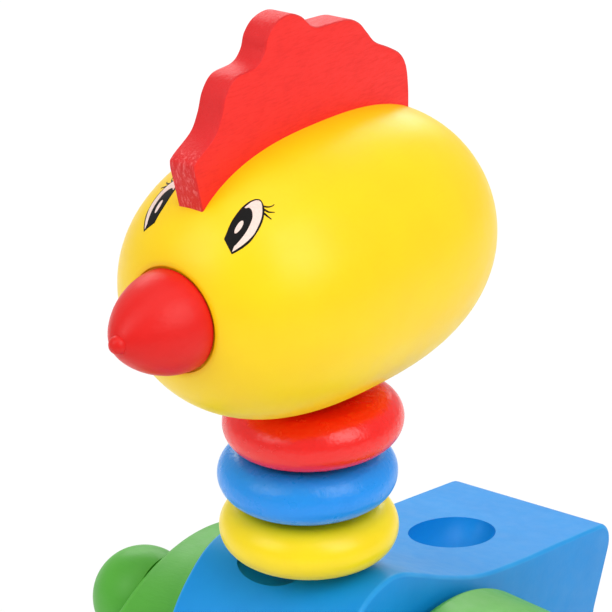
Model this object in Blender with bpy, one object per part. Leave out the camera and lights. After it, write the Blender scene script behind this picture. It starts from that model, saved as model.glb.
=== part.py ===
"""Wheeled wooden pull toy in the form of a chick.

The toy faces -Y, its left side is +X and +Z is up.  Sizes are in millimetres in the
neck's own frame: its origin is the centre of the lowest neck ring, on the neck's axis.
The last step stands the toy on z = 0, centred over the origin.
"""
import math

import bmesh
import bpy
from mathutils import Matrix, Vector

MM = 0.001
TURN = 2.0 * math.pi

# Clearances between pieces that touch, in millimetres.
seat_clearance = 0.3      # a piece resting on or glued into another
bead_gap = 0.45           # between neighbouring neck beads, so that they can rock
ridge_gap = 0.6           # under the lowest bead
wheel_pair_gap = 1.7      # between the front and rear wheels on one side

# Neck rings: turned beads threaded on a coil spring.
ring_diameter = 30.0
ring_thickness = 9.35
ring_bore = 12.0
ring_crown = 0.25         # fall of each flat from the bore to the rounded edge
middle_ring_lean = 1.5    # degrees, toward the toy's right
upper_ring_lean = 3.6     # degrees, toward the toy's right
middle_ring_shift = -0.3  # sideways, loose on the spring
upper_ring_shift = 0.8

# Neck spring and the two pegs that hold its ends.
spring_mean_diameter = 8.0
spring_wire = 1.2
spring_turns = 18
spring_depth_in_body = 24.0
spring_depth_in_head = 12.0
spring_peg_diameter = 5.6
spring_peg_glued_length = 9.0
spring_peg_free_length = 14.0

# Head: an egg-like solid of revolution, lying along the toy.
head_diameter = 46.4
head_length = 68.6
head_fullness = 2.565     # exponent of the superellipse
head_centre_y = 0.6
head_turned = 5.9         # degrees to the toy's right, as the loose spring holds it
head_leaned = 2.7         # degrees to the toy's right
beak_diameter = 16.6
beak_length = 14.3
beak_edge = 0.8
beak_bulge = 0.72         # power of the cosine that rounds its sides
beak_nib = 1.5            # radius of the blunt tip
beak_spot_face_rim = 0.3
beak_spot_face_depth = 1.9
beak_tenon_diameter = 6.0
beak_tenon_length = 10.0

# Comb: a scalloped plywood plate glued in a slot along the crown.
comb_thickness = 5.0
comb_depth_in_head = 11.0
# Outline points about the head: (place toward the rear, height above the crown).
comb_outline = [
    (-27.6, -7.4), (-28.6, -3.0), (-29.3, 0.4), (-28.5, 1.7), (-24.4, 4.2), (-22.6, 6.8),
    (-21.3, 9.9), (-18.9, 12.1), (-14.3, 12.6), (-12.2, 14.2), (-11.2, 16.5), (-9.1, 18.3),
    (-5.8, 18.9), (-3.0, 17.9), (-0.7, 15.9), (1.2, 15.2), (4.4, 15.0), (8.4, 14.6),
    (11.1, 13.3), (13.0, 11.3), (15.0, 9.2), (18.7, 7.3), (21.3, 5.6), (22.7, 3.2),
    (23.1, -0.5), (23.0, -4.5),
]

# Body block: one board's thickness, sawn to a chick's outline.
body_width = 33.0
body_edge = 0.8
# Outline points (y, height above the ridge under the neck) from the chest to the tail.
body_top_line = [
    (-22.0, -46.0), (-23.6, -33.0), (-22.6, -22.5), (-19.6, -14.0), (-15.9, -7.9), (-11.6, -3.8),
    (-6.6, -0.9), (-1.0, 0.0), (3.8, -0.9), (10.0, -3.8), (18.4, -8.0), (29.5, -12.7),
    (43.0, -16.1), (58.0, -19.1), (68.0, -21.1),
]
tail_point = (78.6, -23.2)
tail_radius = 4.5
undercut_foot = (71.6, -39.6)
undercut_radius = 6.0
belly_height = -79.6      # underside, measured from the ridge
rear_corner_radius = 5.0
chest_foot_y = -16.0
chest_corner_radius = 8.0

# Hollows in the body's top.
neck_dish_diameter = 26.0
neck_dish_depth = 6.5
saddle_dish_y = 46.5
saddle_dish_width = 13.6
saddle_dish_length = 21.8
saddle_dish_depth = 6.5

# Front wheels with their crank-like knobs.
front_axle_y = 10.0
front_axle_drop = 49.7    # below the ridge
front_wheel_diameter = 80.0
front_wheel_width = 15.4
wheel_edge = 1.8
wheel_taper = 1.2         # how much smaller the radius is at the outer face
axle_diameter = 6.0
washer_diameter = 13.0
washer_thickness = 0.6
cap_diameter = 15.0
cap_height = 4.6
axle_in_cap = 2.2
knob_diameter = 18.2
knob_centre_out = 3.6     # from the wheel's outer face to the ball's centre
knob_throw = 29.7         # from the axle to the knob
knob_lead = 15.0          # degrees that the right knob stands ahead of straight up
knob_peg_diameter = 5.0
knob_peg_in_wheel = 8.0
knob_peg_in_ball = 7.0

# Rear wheels.
rear_wheel_diameter = 36.0
rear_wheel_width = 13.0

# Screw eye for the pull cord, low on the chest.
eye_height = -42.0        # from the ridge
eye_bore = 7.0
eye_wire = 1.8
eye_shank_depth = 12.0
eye_neck = 3.0

# Numbers of facets.
ring_sides = 28
head_sides = 36
head_rows = 18
wheel_sides = 40
small_sides = 16
curve_steps = 3

# Heights and places that follow from the sizes above.
ring_pitch = ring_thickness + bead_gap
ridge_z = -(ring_thickness / 2 + ridge_gap)
upper_ring_z = 2 * ring_pitch
head_bottom_z = upper_ring_z + ring_thickness / 2 + bead_gap
head_radius = head_diameter / 2
head_half_length = head_length / 2
head_z = head_bottom_z + head_radius
front_axle_z = ridge_z - front_axle_drop
front_wheel_radius = front_wheel_diameter / 2
rear_wheel_radius = rear_wheel_diameter / 2
floor_z = front_axle_z - front_wheel_radius
rear_axle_z = floor_z + rear_wheel_radius
wheel_distance = front_wheel_radius + rear_wheel_radius + wheel_pair_gap
rear_axle_y = front_axle_y + math.sqrt(wheel_distance ** 2 - (front_axle_z - rear_axle_z) ** 2)
wheel_inner_x = body_width / 2 + washer_thickness + 2 * seat_clearance
spring_bore_radius = spring_mean_diameter / 2 + spring_wire / 2 + 2 * seat_clearance
peg_radius = spring_peg_diameter / 2
dish_floor_z = ridge_z - neck_dish_depth
spring_foot_z = ridge_z - spring_depth_in_body
spring_head_z = head_bottom_z + spring_depth_in_head


def material(name, colour, roughness, metallic=0.0):
    """A plain Principled material."""
    made = bpy.data.materials.new(name)
    made.use_nodes = True
    shader = made.node_tree.nodes["Principled BSDF"]
    shader.inputs["Base Color"].default_value = (*colour, 1.0)
    shader.inputs["Roughness"].default_value = roughness
    shader.inputs["Metallic"].default_value = metallic
    return made


def empty(name, parent, at):
    """An unturned empty at a point of the neck's frame."""
    made = bpy.data.objects.new(name, None)
    bpy.context.collection.objects.link(made)
    attach(made, parent, at)
    return made


def attach(thing, parent, at):
    """Parent a thing and put it at a point of the neck's frame."""
    thing["at"] = at
    thing.parent = parent
    base = Vector(parent["at"]) if parent else Vector((0.0, 0.0, 0.0))
    thing.location = (Vector(at) - base) * MM


def solid(name, mesh_data, paint, parent, at, turn=None, smooth_angle=40.0):
    """Make an object of a bmesh given in millimetres about its own origin."""
    bmesh.ops.remove_doubles(mesh_data, verts=mesh_data.verts, dist=1e-4)
    bmesh.ops.recalc_face_normals(mesh_data, faces=mesh_data.faces)
    bmesh.ops.scale(mesh_data, vec=(MM, MM, MM), verts=mesh_data.verts)
    mesh = bpy.data.meshes.new(name)
    mesh_data.to_mesh(mesh)
    mesh_data.free()
    mesh.shade_smooth()
    mesh.set_sharp_from_angle(angle=math.radians(smooth_angle))
    made = bpy.data.objects.new(name, mesh)
    bpy.context.collection.objects.link(made)
    if paint:
        mesh.materials.append(paint)
    attach(made, parent, at)
    if turn:
        made.rotation_euler = turn.to_euler()
    return made


def turned(profile, sides, start=0.0):
    """A solid turned about +Z: (radius, height) points from one pole to the other."""
    made = bmesh.new()
    rows = []
    for radius, height in profile:
        if radius < 1e-6:
            rows.append([made.verts.new((0.0, 0.0, height))])
            continue
        angles = [TURN * (step + start) / sides for step in range(sides)]
        rows.append([made.verts.new((radius * math.cos(a), radius * math.sin(a), height)) for a in angles])
    for low, high in zip(rows, rows[1:]):
        for step in range(sides):
            after = (step + 1) % sides
            corners = [low[step % len(low)], low[after % len(low)], high[after % len(high)], high[step % len(high)]]
            face = list(dict.fromkeys(corners))
            if len(face) > 2:
                made.faces.new(face)
    return made


def turned_ring(loop, sides):
    """A ring turned about +Z from a closed loop of (radius, height) points."""
    made = bmesh.new()
    rows = []
    for step in range(sides):
        angle = TURN * step / sides
        rows.append([made.verts.new((r * math.cos(angle), r * math.sin(angle), h)) for r, h in loop])
    count = len(loop)
    for step in range(sides):
        here, there = rows[step], rows[(step + 1) % sides]
        for place in range(count):
            after = (place + 1) % count
            made.faces.new([here[place], there[place], there[after], here[after]])
    return made


def rod(radius, low, high, sides=small_sides):
    """A plain round rod along +Z, its edges set between those of what it cuts."""
    return turned([(0.0, low), (radius, low), (radius, high), (0.0, high)], sides, 0.5)


def plate(outline, width):
    """A flat plate: an outline of (y, z) points, as wide along X as said."""
    made = bmesh.new()
    left = [made.verts.new((width / 2, y, z)) for y, z in outline]
    right = [made.verts.new((-width / 2, y, z)) for y, z in outline]
    made.faces.new(left)
    made.faces.new(list(reversed(right)))
    count = len(outline)
    for place in range(count):
        after = (place + 1) % count
        made.faces.new([left[place], right[place], right[after], left[after]])
    return made


def arc(centre, radius, start, end, steps):
    """Points of an arc in a plane, between two angles in radians."""
    turns = [start + (end - start) * step / steps for step in range(steps + 1)]
    return [(centre[0] + radius * math.cos(t), centre[1] + radius * math.sin(t)) for t in turns]


def smooth_line(points, steps=curve_steps):
    """A smooth curve through the points (Catmull-Rom), with its ends kept."""
    line = [Vector(p) for p in points]
    line = [2 * line[0] - line[1]] + line + [2 * line[-1] - line[-2]]
    made = []
    for a, b, c, d in zip(line, line[1:], line[2:], line[3:]):
        for step in range(steps):
            t = step / steps
            made.append(0.5 * (2 * b + (c - a) * t + (2 * a - 5 * b + 4 * c - d) * t * t
                               + (3 * b - a - 3 * c + d) * t ** 3))
    made.append(line[-2])
    return [(p.x, p.y) for p in made]


def fillet(before, corner, after, radius, steps=4):
    """The arc of a radius that rounds a corner between two straight edges."""
    corner = Vector(corner)
    to_before = (Vector(before) - corner).normalized()
    to_after = (Vector(after) - corner).normalized()
    half = to_before.angle(to_after) / 2
    centre = corner + (to_before + to_after).normalized() * radius / math.sin(half)
    first = corner + to_before * radius / math.tan(half) - centre
    last = corner + to_after * radius / math.tan(half) - centre
    start = math.atan2(first.y, first.x)
    sweep = math.atan2(first.x * last.y - first.y * last.x, first.dot(last))
    return arc(centre, radius, start, start + sweep, steps)


def cutter(name, mesh_data, parent, at, turn=None):
    """A solid that only cuts others."""
    made = solid(name, mesh_data, None, parent, at, turn)
    made.hide_render = True
    made.display_type = "WIRE"
    return made


def cut(target, tool):
    """Take one solid out of another."""
    change = target.modifiers.new(tool.name, "BOOLEAN")
    change.operation = "DIFFERENCE"
    change.solver = "EXACT"
    change.object = tool


def ellipsoid(radii, sides=28, rows=12):
    """An ellipsoid about its own centre, from its three half sizes."""
    angles = [math.pi * (row / rows - 0.5) for row in range(rows + 1)]
    made = turned([(math.cos(a), math.sin(a)) for a in angles], sides)
    bmesh.ops.scale(made, vec=radii, verts=made.verts)
    return made


# Turns that lay a piece modelled along +Z along another axis.
along_left = Matrix.Rotation(math.radians(90), 3, "Y")
along_right = Matrix.Rotation(math.radians(-90), 3, "Y")
head_set = Matrix.Rotation(math.radians(-head_turned), 3, "Z") @ Matrix.Rotation(math.radians(-head_leaned), 3, "Y")
along_nose = head_set @ Matrix.Rotation(math.radians(90), 3, "X")
along_front = Matrix.Rotation(math.radians(90), 3, "X")


def ridge_height(y):
    """The height of the body's top line at a place along the toy."""
    line = smooth_line(body_top_line)
    for (y0, z0), (y1, z1) in zip(line, line[1:]):
        if y0 <= y <= y1:
            return ridge_z + z0 + (z1 - z0) * (y - y0) / (y1 - y0)
    return ridge_z


def body_outline():
    """The body's closed outline, clockwise from the chest over the back."""
    top = [(y, ridge_z + z) for y, z in smooth_line(body_top_line)]
    belly = ridge_z + belly_height
    tail = (tail_point[0], ridge_z + tail_point[1])
    foot = (undercut_foot[0], ridge_z + undercut_foot[1])
    rear = (undercut_foot[0], belly)
    chest = (chest_foot_y, belly)
    outline = top
    outline += fillet(top[-1], tail, foot, tail_radius)
    outline += fillet(tail, foot, rear, undercut_radius, 2)
    outline += fillet(foot, rear, chest, rear_corner_radius)
    outline += fillet(rear, chest, top[0], chest_corner_radius)
    return outline


def build_body(base, paint, steel):
    """The body block with its hollows and bores, the spring's peg and the screw eye."""
    block = solid("body_block", plate(body_outline(), body_width), paint, base, (0.0, 0.0, 0.0))
    edge = block.modifiers.new("eased_edges", "BEVEL")
    edge.width = body_edge * MM
    edge.segments = 2
    edge.limit_method = "ANGLE"
    edge.angle_limit = math.radians(60)
    neck_dish = ellipsoid((neck_dish_diameter / 2, neck_dish_diameter / 2, neck_dish_depth))
    cut(block, cutter("neck_dish_cut", neck_dish, base, (0.0, 0.0, ridge_z)))
    saddle = ellipsoid((saddle_dish_width / 2, saddle_dish_length / 2, saddle_dish_depth))
    saddle_at = (0.0, saddle_dish_y, ridge_height(saddle_dish_y))
    cut(block, cutter("saddle_dish_cut", saddle, base, saddle_at))
    spring_bore = rod(spring_bore_radius, spring_foot_z - seat_clearance, ridge_z)
    cut(block, cutter("spring_bore_cut", spring_bore, base, (0.0, 0.0, 0.0)))
    peg_foot = spring_foot_z - spring_peg_glued_length
    peg_bore = rod(peg_radius + seat_clearance, peg_foot - seat_clearance, spring_foot_z + seat_clearance)
    cut(block, cutter("lower_peg_bore_cut", peg_bore, base, (0.0, 0.0, 0.0)))
    for name, y, z in (("front", front_axle_y, front_axle_z), ("rear", rear_axle_y, rear_axle_z)):
        hole = rod(axle_diameter / 2 + seat_clearance, -body_width, body_width)
        cut(block, cutter(name + "_axle_bore_cut", hole, base, (0.0, y, z), along_left))
    peg = rod(peg_radius, peg_foot, spring_foot_z + spring_peg_free_length)
    solid("lower_spring_peg", peg, bare_wood, base, (0.0, 0.0, 0.0))
    build_eye(base, block, steel)


def chest_front(height):
    """The body's front at a height measured from the ridge."""
    line = smooth_line(body_top_line)
    for (y0, z0), (y1, z1) in zip(line, line[1:]):
        if z0 <= height <= z1:
            return y0 + (y1 - y0) * (height - z0) / (z1 - z0)
    return line[0][0]


def build_eye(base, block, steel):
    """The screw eye: a steel ring on a shank that is driven into the chest."""
    front = chest_front(eye_height)
    middle = eye_bore / 2 + eye_wire / 2
    centre_out = eye_neck + eye_bore / 2 + eye_wire
    loop = arc((middle, 0.0), eye_wire / 2, 0.0, TURN, 8)[:-1]
    ring = turned_ring(loop, 24)
    bmesh.ops.rotate(ring, verts=ring.verts, cent=(0, 0, 0), matrix=along_left)
    at = (0.0, front - centre_out, ridge_z + eye_height)
    eye = solid("cord_eye", ring, steel, base, at)
    shank_radius = eye_wire / 2
    end = centre_out + eye_shank_depth
    shank = cutter("cord_eye_shank", rod(shank_radius, -end, -middle, 8), base, at, along_front)
    join = eye.modifiers.new("shank", "BOOLEAN")
    join.operation = "UNION"
    join.solver = "EXACT"
    join.object = shank
    hole = rod(shank_radius + seat_clearance, -end - seat_clearance, -middle - eye_wire, 12)
    cut(block, cutter("cord_eye_hole_cut", hole, base, at, along_front))


def build_spring(base, steel):
    """The neck's coil spring: one unbroken wire from the body's bore to the head's."""
    start = spring_foot_z + spring_wire / 2 + seat_clearance
    end = spring_head_z - spring_wire / 2 - seat_clearance
    radius = spring_mean_diameter / 2
    steps_per_turn = 9
    count = spring_turns * steps_per_turn
    wire = bpy.data.curves.new("neck_spring", "CURVE")
    wire.dimensions = "3D"
    wire.bevel_depth = spring_wire / 2 * MM
    wire.bevel_resolution = 1
    wire.use_fill_caps = True
    line = wire.splines.new("POLY")
    line.points.add(count)
    for place, point in enumerate(line.points):
        share = place / count
        angle = TURN * spring_turns * share
        spot = (radius * math.cos(angle), radius * math.sin(angle), start + (end - start) * share)
        point.co = (*(value * MM for value in spot), 1.0)
    pitch = (end - start) / spring_turns
    print("neck_spring: least gap between turns %.2f mm" % (pitch - spring_wire))
    wire.materials.append(steel)
    made = bpy.data.objects.new("neck_spring", wire)
    bpy.context.collection.objects.link(made)
    attach(made, base, (0.0, 0.0, 0.0))


def ring_loop():
    """The section of a neck bead: crowned flats and a full round edge."""
    half = ring_thickness / 2
    edge = half - ring_crown
    outer = ring_diameter / 2 - edge
    bore = ring_bore / 2
    bore_edge = 0.6
    loop = [(bore, -half + bore_edge), (bore + bore_edge, -half)]
    loop += arc((outer, 0.0), edge, -TURN / 4, TURN / 4, 8)
    loop += [(bore + bore_edge, half), (bore, half - bore_edge)]
    return loop


def build_rings(base, paints):
    """The three neck beads, each on its own pivot; the highest pivot is returned."""
    below = ring_thickness / 2 + bead_gap / 2
    leans = (0.0, middle_ring_lean, upper_ring_lean)
    shifts = (0.0, middle_ring_shift, upper_ring_shift)
    pivot = base
    for place, name in enumerate(("lower_ring", "middle_ring", "upper_ring")):
        height = place * ring_pitch
        pivot = empty(name + "_pivot", pivot, (0.0, 0.0, height - below))
        lean = Matrix.Rotation(math.radians(-leans[place]), 3, "Y")
        ring = turned_ring(ring_loop(), ring_sides)
        solid(name, ring, paints[place], pivot, (shifts[place], 0.0, height), lean)
    return pivot


def head_profile():
    """The head's half outline as (radius, place along its length), rear to front."""
    profile = []
    for row in range(head_rows + 1):
        place = -math.cos(math.pi * row / head_rows)
        radius = max(0.0, 1.0 - abs(place) ** head_fullness) ** (1 / head_fullness)
        profile.append((head_radius * radius, head_half_length * place))
    return profile


def comb_line():
    """The comb's closed outline about the head's centre, its foot set in the head."""
    top = [(y, head_radius + z) for y, z in smooth_line(comb_outline, 2)]
    foot = head_radius - comb_depth_in_head
    return top + [(top[-1][0], foot), (top[0][0], foot)]


def build_head(upper_pivot, yellow, red):
    """The head with its beak, comb and upper spring peg, on a pivot about the neck's axis."""
    pivot = empty("head_pivot", upper_pivot, (0.0, 0.0, head_bottom_z))
    centre = (0.0, head_centre_y, head_z)
    head = solid("head", turned(head_profile(), head_sides), yellow, pivot, centre, along_nose)
    spot = head_half_length - beak_spot_face_depth
    face = rod(beak_diameter / 2 + beak_spot_face_rim, spot, head_half_length * 1.2, head_sides)
    cut(head, cutter("beak_spot_face_cut", face, pivot, centre, along_nose))
    tenon_radius = beak_tenon_diameter / 2
    bore = rod(tenon_radius + seat_clearance, spot - beak_tenon_length - seat_clearance, head_half_length)
    cut(head, cutter("beak_bore_cut", bore, pivot, centre, along_nose))
    build_beak(pivot, centre, spot, red)
    slot_foot = head_radius - comb_depth_in_head - seat_clearance
    slot_line = [
        (comb_outline[0][0] - seat_clearance, slot_foot),
        (comb_outline[-1][0] + seat_clearance, slot_foot),
        (comb_outline[-1][0] + seat_clearance, 2 * head_radius),
        (comb_outline[0][0] - 2 * comb_thickness, 2 * head_radius),
        (comb_outline[0][0] - 2 * comb_thickness, head_radius),
        (comb_outline[0][0] - seat_clearance, head_radius + comb_outline[0][1]),
    ]
    slot = plate(slot_line, comb_thickness + 2 * seat_clearance)
    cut(head, cutter("comb_slot_cut", slot, pivot, centre, head_set))
    comb = solid("comb", plate(comb_line(), comb_thickness), red, pivot, centre, head_set)
    edge = comb.modifiers.new("eased_edges", "BEVEL")
    edge.width = 0.5 * MM
    edge.segments = 1
    edge.limit_method = "ANGLE"
    edge.angle_limit = math.radians(60)
    spring_bore = rod(spring_bore_radius, head_bottom_z - head_radius / 2, spring_head_z)
    cut(head, cutter("head_spring_bore_cut", spring_bore, pivot, (0.0, 0.0, 0.0)))
    peg_top = spring_head_z + spring_peg_glued_length
    peg_bore = rod(peg_radius + seat_clearance, spring_head_z - seat_clearance, peg_top + seat_clearance)
    cut(head, cutter("upper_peg_bore_cut", peg_bore, pivot, (0.0, 0.0, 0.0)))
    peg = rod(peg_radius, spring_head_z - spring_peg_free_length, peg_top)
    solid("upper_spring_peg", peg, bare_wood, pivot, (0.0, 0.0, 0.0))


def build_beak(pivot, centre, spot, red):
    """The turned beak: a bulging cone with a rounded foot, a blunt tip and a tenon."""
    radius = beak_diameter / 2
    start = spot + seat_clearance
    tip = start + beak_length
    tenon_radius = beak_tenon_diameter / 2
    profile = [(0.0, start - beak_tenon_length), (tenon_radius, start - beak_tenon_length)]
    profile += [(tenon_radius, start), (radius - beak_edge, start)]
    profile += arc((radius - beak_edge, start + beak_edge), beak_edge, -TURN / 4, 0.0, 4)[1:]
    rows = 7
    for row in range(1, rows + 1):
        share = row / rows
        height = start + beak_edge + (beak_length - beak_edge - beak_nib) * share
        bulge = math.cos(share * TURN / 4) ** beak_bulge
        profile.append((beak_nib + (radius - beak_nib) * bulge, height))
    profile += arc((0.0, tip - beak_nib), beak_nib, 0.0, TURN / 4, 3)[1:]
    solid("beak", turned(profile, 28), red, pivot, centre, along_nose)


def wheel_profile(radius, width):
    """A wheel with eased edges, from its inner face at 0 to its outer face."""
    outer = radius - wheel_taper
    bore = axle_diameter / 2 + seat_clearance
    loop = [(bore, 0.0)]
    loop += arc((radius - wheel_edge, wheel_edge), wheel_edge, -TURN / 4, 0.0, 3)
    loop += arc((outer - wheel_edge, width - wheel_edge), wheel_edge, 0.0, TURN / 4, 3)
    loop += [(bore, width)]
    return loop


def cap_profile():
    """A domed hub cap with a blind hole for the axle's end."""
    hole = axle_diameter / 2 + seat_clearance
    start = seat_clearance
    radius = cap_diameter / 2
    rise = cap_height * 0.6
    profile = [(0.0, start + axle_in_cap), (hole, start + axle_in_cap), (hole, start), (radius, start)]
    profile += [(radius, start + cap_height - rise)]
    for row in range(1, 5):
        angle = TURN / 4 * row / 4
        profile.append((radius * math.cos(angle), start + cap_height - rise + rise * math.sin(angle)))
    return profile


def build_wheel_set(name, base, y, z, diameter, width, paint, steel):
    """One axle with its two wheels, washers and caps; returns its pivot and wheels."""
    pivot = empty(name + "_axle_pivot", base, (0.0, y, z))
    reach = wheel_inner_x + width + axle_in_cap
    solid(name + "_axle", rod(axle_diameter / 2, -reach, reach), bare_wood, pivot, (0.0, y, z), along_left)
    wheels = {}
    for side, sign, turn in (("left", 1, along_left), ("right", -1, along_right)):
        label = side + "_" + name
        at = (sign * wheel_inner_x, y, z)
        wheel = turned_ring(wheel_profile(diameter / 2, width), wheel_sides)
        wheels[side] = solid(label + "_wheel", wheel, paint, pivot, at, turn)
        hole = axle_diameter / 2 + seat_clearance
        loop = [(hole, 0.0), (washer_diameter / 2, 0.0)]
        loop += [(washer_diameter / 2, washer_thickness), (hole, washer_thickness)]
        washer_at = (sign * (body_width / 2 + seat_clearance), y, z)
        solid(label + "_washer", turned_ring(loop, small_sides), steel, pivot, washer_at, turn)
        cap_at = (sign * (wheel_inner_x + width), y, z)
        solid(label + "_hub_cap", turned(cap_profile(), 24), paint, pivot, cap_at, turn)
    return pivot, wheels


def build_knob(side, sign, turn, pivot, wheel, paint):
    """A ball knob pegged to a front wheel's outer face near its rim."""
    lead = math.radians(knob_lead if sign < 0 else knob_lead + 180)
    y = front_axle_y - knob_throw * math.sin(lead)
    z = front_axle_z + knob_throw * math.cos(lead)
    face_x = wheel_inner_x + front_wheel_width
    at = (sign * face_x, y, z)
    radius = knob_diameter / 2
    peg_hole = knob_peg_diameter / 2 + seat_clearance
    foot = math.asin((knob_centre_out - seat_clearance) / radius)
    hole_top = seat_clearance + knob_peg_in_ball
    profile = [(0.0, hole_top), (peg_hole, hole_top), (peg_hole, seat_clearance)]
    rows = 10
    for row in range(rows + 1):
        angle = -foot + (foot + TURN / 4) * row / rows
        profile.append((radius * math.cos(angle), knob_centre_out + radius * math.sin(angle)))
    profile[-1] = (0.0, knob_centre_out + radius)
    solid(side + "_knob", turned(profile, 24), paint, pivot, at, turn)
    hole = rod(peg_hole, -knob_peg_in_wheel - seat_clearance, knob_peg_in_ball)
    cut(wheel, cutter(side + "_knob_hole_cut", hole, pivot, at, turn))
    peg = rod(knob_peg_diameter / 2, -knob_peg_in_wheel, knob_peg_in_ball)
    solid(side + "_knob_peg", peg, bare_wood, pivot, at, turn)


def stand_on_floor(base):
    """Shift the whole toy so that it stands on z = 0, centred over the origin."""
    bpy.context.view_layer.update()
    seen = bpy.context.evaluated_depsgraph_get()
    corners = []
    for thing in bpy.context.scene.objects:
        if thing.type == "EMPTY" or thing.hide_render:
            continue
        whole = thing.evaluated_get(seen)
        mesh = whole.to_mesh()
        corners += [whole.matrix_world @ vertex.co for vertex in mesh.vertices]
        whole.to_mesh_clear()
    low = [min(corner[axis] for corner in corners) for axis in range(3)]
    high = [max(corner[axis] for corner in corners) for axis in range(3)]
    base.location = (-(low[0] + high[0]) / 2, -(low[1] + high[1]) / 2, -low[2])
    print("neck frame's origin is at", [round(value, 6) for value in base.location])
    print("size", [round(h - l, 6) for l, h in zip(low, high)])


for old in list(bpy.data.objects):
    bpy.data.objects.remove(old)

yellow_paint = material("yellow_paint", (1.0, 0.78, 0.02), 0.3)
red_paint = material("red_paint", (0.85, 0.03, 0.02), 0.35)
ring_blue_paint = material("ring_blue_paint", (0.03, 0.32, 0.85), 0.35)
body_blue_paint = material("body_blue_paint", (0.02, 0.3, 0.75), 0.35)
green_paint = material("green_paint", (0.11, 0.47, 0.06), 0.4)
bare_wood = material("bare_wood", (0.75, 0.55, 0.33), 0.6)
bright_steel = material("bright_steel", (0.7, 0.7, 0.7), 0.3, 1.0)

toy = empty("toy", None, (0.0, 0.0, 0.0))
build_body(toy, body_blue_paint, bright_steel)
build_spring(toy, bright_steel)
top_pivot = build_rings(toy, (yellow_paint, ring_blue_paint, red_paint))
build_head(top_pivot, yellow_paint, red_paint)
front_pivot, front_wheels = build_wheel_set(
    "front", toy, front_axle_y, front_axle_z, front_wheel_diameter, front_wheel_width, green_paint, bright_steel)
build_wheel_set(
    "rear", toy, rear_axle_y, rear_axle_z, rear_wheel_diameter, rear_wheel_width, green_paint, bright_steel)
build_knob("left", 1, along_left, front_pivot, front_wheels["left"], green_paint)
build_knob("right", -1, along_right, front_pivot, front_wheels["right"], green_paint)
stand_on_floor(toy)
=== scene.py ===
"""The looks of a painted wooden chick on wheels, a pull toy with a spring neck.

Lengths are in millimetres about the neck's origin, the centre of the lowest neck ring.
The toy faces -Y, its left side is +X and +Z is up.
"""
import math

import bpy
import numpy as np
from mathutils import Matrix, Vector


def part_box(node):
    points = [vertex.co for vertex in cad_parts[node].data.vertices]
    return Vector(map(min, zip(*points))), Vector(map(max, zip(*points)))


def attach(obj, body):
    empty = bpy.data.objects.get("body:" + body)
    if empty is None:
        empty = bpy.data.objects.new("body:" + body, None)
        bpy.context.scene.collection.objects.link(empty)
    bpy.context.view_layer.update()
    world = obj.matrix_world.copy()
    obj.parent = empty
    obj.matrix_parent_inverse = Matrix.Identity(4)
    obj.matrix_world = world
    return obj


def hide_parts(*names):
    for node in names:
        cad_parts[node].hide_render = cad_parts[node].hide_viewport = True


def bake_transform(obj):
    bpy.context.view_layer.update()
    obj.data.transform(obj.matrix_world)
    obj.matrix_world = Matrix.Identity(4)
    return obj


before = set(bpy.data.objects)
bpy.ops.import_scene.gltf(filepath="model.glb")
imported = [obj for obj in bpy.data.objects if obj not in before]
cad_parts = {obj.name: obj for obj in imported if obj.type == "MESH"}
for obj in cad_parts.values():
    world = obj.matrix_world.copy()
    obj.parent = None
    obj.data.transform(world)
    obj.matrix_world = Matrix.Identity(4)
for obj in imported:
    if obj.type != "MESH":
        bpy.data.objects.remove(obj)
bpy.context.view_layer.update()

MM = 0.001
TURN = 2.0 * math.pi
low_corner, high_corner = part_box("lower_ring")
neck = np.array(low_corner + high_corner) / 2.0

# Neck rings and spring.
ring_radius = 15.0
ring_thickness = 9.35
ring_bore = 6.0
ring_crown = 0.25
ring_easing = 0.6
ring_pitch = 9.8
ring_leans = (0.0, 1.5, 3.6)      # degrees toward the toy's right
ring_shifts = (0.0, -0.3, 0.8)    # along X
spring_radius = 4.0
spring_wire = 0.6                 # the wire's radius
spring_turns = 18
points_per_turn = 20
spring_low = -28.375
spring_high = 35.825
head_bore_radius = 5.2
head_bore_end = 36.725
body_bore_radius = 4.8
body_bore_floor = -29.575

# Head, beak and comb.
head_radius = 23.2
head_half_length = 34.3
head_fullness = 2.565
head_place = (0.0, 0.6, 47.925)
head_turned = math.radians(5.9)   # to the toy's right, as it rests on its loose spring
head_leaned = math.radians(2.7)
spot_face_at = 32.4
spot_face_radius = 8.6
spot_face_rim = 33.1              # where the head's own surface ends
spot_face_easing = 0.2
beak_radius = 8.3
beak_length = 14.3
beak_edge = 0.8
beak_bulge = 0.72
beak_nib = 1.5
beak_gap = 0.05
comb_thickness = 5.0
comb_foot = 12.2                  # above the head's centre
comb_edge = 0.35
comb_clearance = 0.12
comb_slot_top = 46.0
comb_slot_front = -37.0
# The comb's top: place toward the rear from the head's centre, and height above the crown.
comb_points = [
    (-27.6, -7.4), (-28.6, -3.0), (-29.3, 0.4), (-28.5, 1.7), (-24.4, 4.2), (-22.6, 6.8),
    (-21.3, 9.9), (-18.9, 12.1), (-14.3, 12.6), (-12.2, 14.2), (-11.2, 16.5), (-9.1, 18.3),
    (-5.8, 18.9), (-3.0, 17.9), (-0.7, 15.9), (1.2, 15.2), (4.4, 15.0), (8.4, 14.6),
    (11.1, 13.3), (13.0, 11.3), (15.0, 9.2), (18.7, 7.3), (21.3, 5.6), (22.7, 3.2),
    (23.1, -0.5), (23.0, -4.5),
]

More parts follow.
